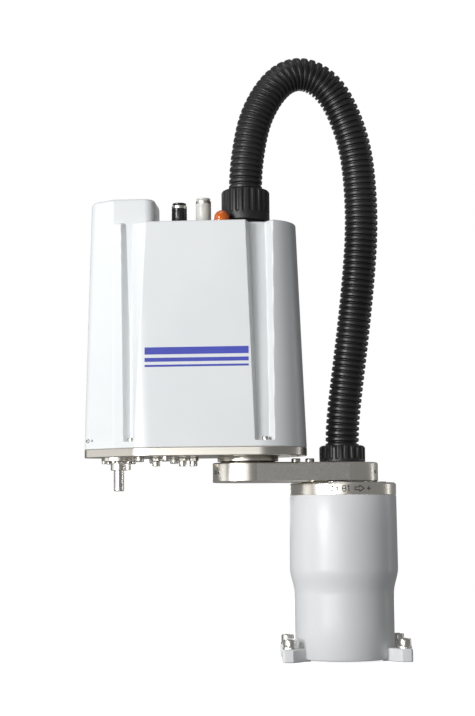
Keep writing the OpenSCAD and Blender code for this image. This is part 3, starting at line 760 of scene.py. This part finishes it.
def make_plate():
    bm = bmesh.new()
    outline = head_outline()
    prism(bm, outline, PLATE_Z, PLATE_TOP, 0.5)
    new_piece("head_plate_machined", bm, [MILLED], "head", "head_plate", slot="machined", at=ARM2, sharp=25)
    bm = bmesh.new()
    z0, z1 = level("j2_bearing_housing", 0), level("j2_bearing_housing", 1)
    lathe(bm, [(18.5, z0), (23.1, z0), (23.5, z0 + 0.4), (23.5, z1 - 0.6), (23.2, z1), (18.5, z1)], 128,
          loop=True)
    new_piece("j2_housing_turned", bm, [TURNED], "head", "j2_bearing_housing", slot="machined", at=ARM2)


def loft(bm, columns, levels):
    """Rings of columns(z, extra) at each (z, extra inset), closed at both ends."""
    rings = [[bm.verts.new((x, y, z)) for x, y in columns(z, extra)] for z, extra in levels]
    join_rings(bm, rings)
    cap(bm, rings[0])
    cap(bm, rings[-1])


def rounded_top(top, r, n=7):
    """Levels of a fillet of radius r up to top."""
    turns = (math.pi / 2 * i / n for i in range(1, n + 1))
    return [(top - r + r * math.sin(a), r * (1 - math.cos(a))) for a in turns]


def make_cover():
    def shell(z, extra):
        points = []
        for x, y, nx, ny in head_outline(DRAFT * (min(z, COVER_Z) - PLATE_TOP), extra):
            depth = groove_depth(x, z)
            points.append((x - nx * depth, y - ny * depth))
        return points

    steps = [PLATE_TOP + dz for dz in (0.35, 0.7, 2.5)]
    steps += [LEDGE_Z + dz for dz in (-0.9, -0.3, -0.01, 0.01, 0.5, 2)]
    steps += [LEDGE_Z + 2 + (COVER_Z - 4 - LEDGE_Z) * i / 30 for i in range(1, 31)]
    levels = [(PLATE_TOP, 0.4)] + [(z, 0) for z in steps] + rounded_top(COVER_Z, 1.8)
    bm = bmesh.new()
    loft(bm, shell, levels)
    new_piece("head_cover_shell", bm, [WHITE_COVER], "head", "head_cover", slot="moulded_white", at=ARM2,
              sharp=48)


def make_cap():
    """The raised cap over the shaft, one surface with the nose; its flat sides stand back from the head's."""
    facet = math.radians(HEAD_FACET)
    nx, ny = math.cos(facet), math.sin(facet)
    reach = nx * NOSE_U + NOSE_R
    edge_r, back_r = 1.6, 7.5

    def half(z, extra):
        """From the middle of the nose to the middle of the back, on the +v side."""
        draft = DRAFT * (z - PLATE_TOP)
        nu, nr = nose_arc(draft, extra - 0.04)
        hw, line = CAP_HW - extra, reach - extra + 0.04
        r = edge_r
        cv = hw - r
        cu = (line - r - ny * cv) / nx
        back = CAP_BACK_U + extra
        nose = [p[:2] for p in spread(nu, 0, nr, 0, HEAD_FACET, 20)]
        edge = [p[:2] for p in spread(cu, cv, r, HEAD_FACET, 90, 5)]
        corner = [p[:2] for p in spread(back + back_r, hw - back_r, back_r, 90, 180, 12)]
        return (nose + [p[:2] for p in straight(nose[-1], edge[0], 24)] + edge
                + [p[:2] for p in straight(edge[-1], corner[0], 16)] + corner + [(back, 0)])

    def shell(z, extra):
        near = half(z, extra)
        return near + [(x, -y) for x, y in near[-2:0:-1]]

    levels = [(PLATE_TOP + 0.5 + (COVER_Z - PLATE_TOP) * i / 12, 0) for i in range(13)]
    levels += [(COVER_Z + 4, 0), (COVER_Z + 9, 0), (CAP_Z - 4, 0)] + rounded_top(CAP_Z - 0.3, 2.6)
    bm = bmesh.new()
    loft(bm, shell, levels)
    new_piece("head_cover_cap", bm, [WHITE_COVER], "head", slot="moulded_white", at=ARM2, sharp=48)


def on_side(side):
    """Maps (u, z) to the outside of the raised panel, on the camera's side (1) or the far side (-1)."""
    def place(u, z, h):
        return Vector((u, side * (HEAD_HW - DRAFT * (z - PLATE_TOP) + h), z))
    return place


# Each bar's level and height, and where all of them start and end along the head.
STRIPES = ((235.2, 5.5), (228.4, 3.0), (223.8, 1.6))
STRIPE_ENDS = (75.5, -3.5)
COVER_SCREWS_AT = ((86.5, 28.6), (-15.5, 31.8))
TOP_SCREW_AT = (64.5, 14)


def make_stripes():
    """Three plain blue bars on each raised panel, in place of lettering."""
    bm = bmesh.new()
    for side in (1, -1):
        for z, height in STRIPES:
            strip(bm, [(STRIPE_ENDS[0], z), (STRIPE_ENDS[1], z)], height, on_side(side), 0.05)
    new_piece("side_stripes", bm, [BLUE_INK], "head", at=ARM2)


def make_cover_details():
    bm = bmesh.new()
    for side in (-1, 1):
        for u, v in COVER_SCREWS_AT:
            socket_screw(bm, moved(u, side * v, LEDGE_Z), 2.75, 2.6, 1.25, seg=48)
    new_piece("cover_screw_heads", bm, [NICKEL], "head", "cover_screws", slot="steel", at=ARM2)
    bm = bmesh.new()
    button_screw(bm, moved(*TOP_SCREW_AT, COVER_Z), 1.8, 1.3, 0.8)
    new_piece("cover_top_screw", bm, [GOLD_CONTACT], "head", at=ARM2)

    # A mark on the nose's facet, low down: the second joint's positive direction.
    a = math.radians(HEAD_FACET)
    facet_n = Vector((math.cos(a), math.sin(a), 0))
    along = Vector((-facet_n.y, facet_n.x, 0))
    start = Vector((NOSE_U, 0, 0)) + facet_n * NOSE_R + along * 1.5

    def place(x, y, h):
        z = PLATE_TOP + 6.5 + y
        return start + along * x + facet_n * (h + 0.08) + Vector((0, 0, z))

    bm = bmesh.new()
    for points in [block_arrow(-3, 0, 3.4, 3.2, 1), *plus(3.0, 0, 2.2)]:
        strip(bm, points, 0.45, place)
    new_piece("nose_marks", bm, [DARK_INK], "head", at=ARM2)


make_plate()
make_cover()
make_cap()
make_stripes()
make_cover_details()

# ---- fittings, lamp, button and connector on the head ----


FITTING_BODY, FITTING_RIM = 0, 1


def fitting(bm, at, h):
    """Push-in air fitting: hex foot, round body with a collar, and a metal rim round the release ring."""
    def foot(a, r):
        return hexagon(a, r * 0.95)

    lathe(bm, [(3.05, -2), (6, -2), (6, 0), (6.2, 0.3, foot), (6.4, 0.8, foot), (6.4, 2.9, foot),
               (6.1, 3.3, foot), (5.7, 3.6), (5.7, 4.4), (6, 4.9), (6, h - 5.2), (5.8, h - 4.9),
               (5.8, h - 4.5), (6, h - 4.2), (6, h - 2.2)], 72, at, FITTING_BODY)
    lathe(bm, [(4.6, h - 2.2), (5.9, h - 2.2), (6.0, h - 2), (6.0, h - 0.3), (5.7, h), (4.6, h)], 72, at,
          FITTING_RIM, loop=True)


def release_ring(bm, at, h):
    """The sleeve and rim that a finger presses; its mouth is open for the tube."""
    z = h + 0.8
    lathe(bm, [(3.05, h - 6), (4.4, h - 6), (4.4, z), (5.2, z), (5.4, z + 0.25), (5.4, z + 1.0),
               (5.1, z + 1.35), (4.4, z + 1.4), (3.5, z + 1.1), (3.05, z + 0.6)], 72, at, loop=True)


# Each fitting's place along the head, and its height.
HEAD_FITTINGS = {"black": (52, 16.5), "white": (33, 20)}
# The base's fittings: how far each is from the middle, its height, and its seat from the back of its CAD node.
BASE_FITTING_X, BASE_FITTING_H, BASE_FITTING_SEAT = 17, 12.5, 5


def middle_level(node):
    """The level of the middle of a CAD node's box."""
    low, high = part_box(node)
    return (low.z + high.z) / 2 / MM


def make_fittings():
    for n, colour, finish, slot in ((1, "black", GLOSS_BLACK, "black_plastic"),
                                    (2, "white", PALE_RESIN, "grey_plastic")):
        u, h = HEAD_FITTINGS[colour]
        at = moved(u, 0, COVER_Z)
        bm = bmesh.new()
        fitting(bm, at, h)
        new_piece(f"fitting_{colour}_body", bm, [finish, NICKEL], "head", f"fitting_{colour}", slot=slot,
                  at=ARM2)
        bm = bmesh.new()
        release_ring(bm, at, h)
        new_piece(f"collet_{colour}_ring", bm, [finish], f"head_collet_{n}", f"collet_{colour}", slot=slot,
                  at=ARM2)
    seat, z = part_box("base_fittings")[0].y / MM + BASE_FITTING_SEAT, middle_level("base_fittings")
    bodies = bmesh.new()
    for n, side, name, finish, slot in ((1, -1, "left", PALE_RESIN, "grey_plastic"),
                                        (2, 1, "right", GLOSS_BLACK, "black_plastic")):
        at = moved(side * BASE_FITTING_X, seat, z) @ OUT_BACK
        fitting(bodies, at, BASE_FITTING_H)
        ring = bmesh.new()
        release_ring(ring, at, BASE_FITTING_H)
        new_piece(f"base_ring_{name}", ring, [finish], f"base_collet_{n}", f"base_collet_{name}", slot=slot)
    new_piece("base_fitting_bodies", bodies, [PALE_RESIN, NICKEL], "base", "base_fittings", slot="grey_plastic")


def make_top_items():
    bm = bmesh.new()
    dome = [(6.0 * math.cos(a), 3 + 6.0 * math.sin(a)) for a in (math.pi / 2 * i / 10 for i in range(10))]
    lathe(bm, [(0, 0), (6.6, 0), (6.6, 1.4), (6.3, 1.8), (6.0, 2.0), *dome, (0, 9)], 64)
    place = moved(*middle("status_lamp"), level("status_lamp", 0))
    new_piece("lamp_dome", bm, [LENS], "head", "status_lamp", slot="lamp_orange", at=place)
    bm = bmesh.new()
    lathe(bm, [(0, 0.2), (2.4, 0.2), (2.4, 4.6), (1.6, 6.2), (0, 6.6)], 32)
    new_piece("lamp_bulb", bm, [GOLD_CONTACT], "head", at=place)
    x, y = middle("button_bezel")
    bm = bmesh.new()
    lathe(bm, [(4.6, 0), (6.8, 0), (7, 0.3), (7, 1.6), (6.3, 2.4), (5.2, 2.5), (4.6, 2.0)], 64, loop=True)
    new_piece("button_bezel_ring", bm, [GLOSS_BLACK], "head", "button_bezel", slot="black_plastic",
              at=moved(x, y, level("button_bezel", 0)))
    bm = bmesh.new()
    lathe(bm, [(0, 0), (4.5, 0), (4.5, 2.3), (4.2, 2.8), (3.6, 3.0), (2.4, 2.85), (0, 2.7)], 64)
    new_piece("brake_button_cap", bm, [BUTTON_RED], "release_button", "brake_button", slot="button_red",
              at=moved(x, y, level("brake_button", 0)))


PLATE_SCREWS_AT = ((81, 22), (75, -18), (60, 29), (60, -29))
STOP_BOLTS_AT = ((70, 8), (50, 2), (42, 0))


def make_under_head():
    """Screws, stops and the spline flange under the plate."""
    bm = bmesh.new()
    z = PLATE_Z
    for u, v in PLATE_SCREWS_AT:
        socket_screw(bm, moved(u, v, z, flip=True), 3.5, 4, 1.5, seg=48)
    new_piece("plate_screw_heads", bm, [NICKEL], "head", "plate_screws", slot="steel", at=ARM2)
    bm = bmesh.new()
    for u, v in STOP_BOLTS_AT:
        lathe(bm, [(0, 0), (3.3, 0, hexagon), (3.45, 0.3, hexagon), (3.45, 2.7, hexagon), (3.2, 3), (2.6, 3),
                   (3, 3.4), (3, 6.6), (2.7, 7), (0, 7)], 48, moved(u, v, z, flip=True))
    new_piece("stop_bolt_heads", bm, [NICKEL], "head", "stop_bolts", slot="steel", at=ARM2)
    bm = bmesh.new()
    flange_z = level("spline_flange", 0)
    lathe(bm, [(7, flange_z), (9.4, flange_z), (9.6, flange_z + 0.2), (13.2, flange_z + 0.2),
               (13.5, flange_z + 0.5), (13.5, z), (7, z)], 96, moved(ARM2_L, 0, 0), loop=True)
    new_piece("spline_flange_turned", bm, [TURNED], "head", "spline_flange", slot="steel", at=ARM2)
    bm = bmesh.new()
    for k in range(6):
        a = math.radians(60 * k + 20)
        at = moved(ARM2_L + 11.4 * math.cos(a), 11.4 * math.sin(a), flange_z + 0.2, flip=True)
        socket_screw(bm, at, 2.1, 1.9, 1.0, seg=36)
    new_piece("spline_screw_heads", bm, [NICKEL], "head", "spline_flange_screws", slot="steel", at=ARM2)


UPPER_COLLAR_DROP, LOWER_COLLAR_Z = 8, 146


def make_shaft():
    z0, z1 = level("shaft", 0), level("shaft", 1)
    at = moved(ARM2_L, 0, 0)
    bm = bmesh.new()

    def grooved(a, r):
        """Three shallow ball tracks down the splined length."""
        t = (a * 3 / TAU) % 1
        return r - 0.35 * smooth_step(1 - abs(t - 0.5) / 0.07)

    lathe(bm, [(1.5, z0), (3.4, z0), (4, z0 + 0.6), (4, z0 + 15.4), (3.7, z0 + 15.4), (3.7, z0 + 15.9),
               (4, z0 + 15.9), (4, z0 + 22), (4, z0 + 23, grooved), (4, z1 - 4, grooved), (4, z1 - 3),
               (4, z1 - 0.5), (3.5, z1), (1.5, z1)], 96, at, loop=True)
    new_piece("shaft_ground", bm, [GROUND], "spindle", "shaft", slot="steel", at=ARM2)
    bm = bmesh.new()
    for z, h in ((LOWER_COLLAR_Z, 5.7), (z1 - UPPER_COLLAR_DROP, 6)):
        lathe(bm, [(4, z), (5.9, z), (6.35, z + 0.45), (6.35, z + h - 0.45), (5.9, z + h), (4, z + h)], 72,
              at, loop=True)
        # Clamp lugs either side of the slit.
        for v in (-1.4, 1.4):
            lug = [(x + 6.9, y + v, nx, ny) for x, y, nx, ny in rounded_box(4.2, 2.2, 0.5)]
            prism(bm, lug, z + 0.4, z + h - 0.4, 0.25, at @ Matrix.Rotation(math.pi, 4, "Z"))
    new_piece("shaft_collar_clamped", bm, [NICKEL], "spindle", "shaft_collar", slot="steel", at=ARM2)


make_fittings()
make_top_items()
make_under_head()
make_shaft()

# ---- rear of the base ----


def make_rear():
    low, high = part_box("rear_panel")
    y0, y1 = low.y / MM, high.y / MM
    upright = Matrix.Rotation(math.pi / 2, 4, "X")
    w, h, z = (high.x - low.x) / MM, (high.z - low.z) / MM, (low.z + high.z) / 2 / MM
    bm = bmesh.new()
    prism(bm, rounded_box(w - 0.6, h - 0.6, 3), -y1, -y0, 0.4, Matrix.Translation((0, 0, z)) @ upright)
    new_piece("rear_panel_plate", bm, [MILLED], "base", "rear_panel", slot="machined")
    bm = bmesh.new()
    for x in (-27, 27):
        for sz in (low.z / MM + 3, high.z / MM - 3):
            button_screw(bm, moved(x, y1, sz) @ OUT_BACK, 2.75, 2, 1.0)
    new_piece("rear_screw_heads", bm, [NICKEL], "base", "rear_panel_screws", slot="steel")
    for node, pins, finish, slot in (("power_receptacle", 6, GLOSS_BLACK, "black_plastic"),
                                     ("signal_receptacle", 8, DARK_STEEL, "black_plastic")):
        at = moved(middle(node)[0], y1, middle_level(node)) @ OUT_BACK
        bm = bmesh.new()
        prism(bm, rounded_box(21, 21, 2), 0, 1.5, 0.3, at)
        lathe(bm, [(0, 1.4), (9, 1.4), (9, 2), (8.7, 2.2), (8.7, 2.8), (9, 3), (9, 3.6), (8.7, 3.8), (8.7, 4.4),
                   (9, 4.6), (9, 5.7), (8.7, 6), (8.1, 6), (8, 5.2), (0, 5.2)], 72, at)
        for k in range(pins):
            a = TAU * k / pins
            lathe(bm, [(0, 5), (0.8, 5), (0.8, 5.7), (0.4, 6), (0, 6)], 16,
                  at @ moved(5 * math.cos(a), 5 * math.sin(a), 0), 1)
        for cx in (-8.3, 8.3):
            for cy in (-8.3, 8.3):
                button_screw(bm, at @ moved(cx, cy, 1.5), 1.5, 0.8, 0.6, 2)
        new_piece(node + "_shell", bm, [finish, GOLD_CONTACT, NICKEL], "base", node, slot=slot)
    make_d_connector("user_receptacle", "base", moved(0, y1, middle_level("user_receptacle")) @ OUT_BACK, 1.0)
    x, y = middle("head_connector")
    turn = Matrix.Rotation(math.radians(ARM2_DIR), 4, "Z")
    make_d_connector("head_connector", "head", moved(x, y, level("head_connector", 0)) @ turn, 0.8)


def make_d_connector(node, body, at, scale):
    """A D-shaped shell with a dark insert, its contacts and two jack posts."""
    at = at @ Matrix.Scale(scale, 4)

    def d_shape(w, h, r):
        k = 1.3
        return [(x - math.copysign(k * (h / 2 - y) / h, x), y, nx, ny)
                for x, y, nx, ny in rounded_box(w, h, r)]

    bm = bmesh.new()
    prism(bm, rounded_box(31, 12, 1.5), 0, 1, 0.2, at)
    prism(bm, d_shape(16.6, 7.8, 1.6), 0.9, 3.6, 0.3, at)
    prism(bm, d_shape(15, 6.4, 1.3), 3, 4, 0.3, at, 1)
    for row in (0, 1):
        count = 5 - row
        for i in range(count):
            lathe(bm, [(0.28, 3.95), (0.62, 3.95), (0.62, 4.0), (0.28, 4.0)], 16,
                  at @ moved((i - (count - 1) / 2) * 2.75, 1.4 - row * 2.8, 0), 2, loop=True)
    for x in (-12.5, 12.5):
        lathe(bm, [(1.3, 0.9), (2.2, 0.9, hexagon), (2.2, 3.2, hexagon), (1.9, 3.5), (1.3, 3.5)], 36,
              at @ moved(x, 0, 0), loop=True)
    new_piece(node + "_shell", bm, [NICKEL, GLOSS_BLACK, GOLD_CONTACT], body, node, slot="steel")


make_rear()

# ---- CAD nodes that keep their shape: the drive inside the housings ----

INNER = {
    DARK_STEEL: ["j1_motor", "z_motor", "z_brake", "j4_motor", "j2_motor"],
    GROUND: ["j1_circular_spline", "j1_flexspline", "j2_flexspline", "j1_wave_generator", "j2_circular_spline",
             "j2_wave_generator", "spline_nut", "screw_nut", "z_motor_pulley", "j4_motor_pulley"],
    MILLED: ["z_frame"],
    BELT_RUBBER: ["z_belt", "j4_belt"],
    NUT_BLACK: ["duct_gland_base"],
}


def finish_inner():
    for finish, nodes in INNER.items():
        for name in nodes:
            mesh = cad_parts[name].data
            mesh.materials.clear()
            mesh.materials.append(finish)


FLOOR_R = 0.9


def make_floor():
    bm = bmesh.new()
    bmesh.ops.create_circle(bm, cap_ends=True, segments=96, radius=FLOOR_R)
    mesh = bpy.data.meshes.new("floor")
    bm.to_mesh(mesh)
    bm.free()
    mesh.materials.append(FLOOR)
    floor = bpy.data.objects.new("floor", mesh)
    bpy.context.scene.collection.objects.link(floor)
    # The paper shows white, but neither lights the arm from below nor mirrors in it.
    floor.visible_diffuse = floor.visible_glossy = False


finish_inner()
make_floor()
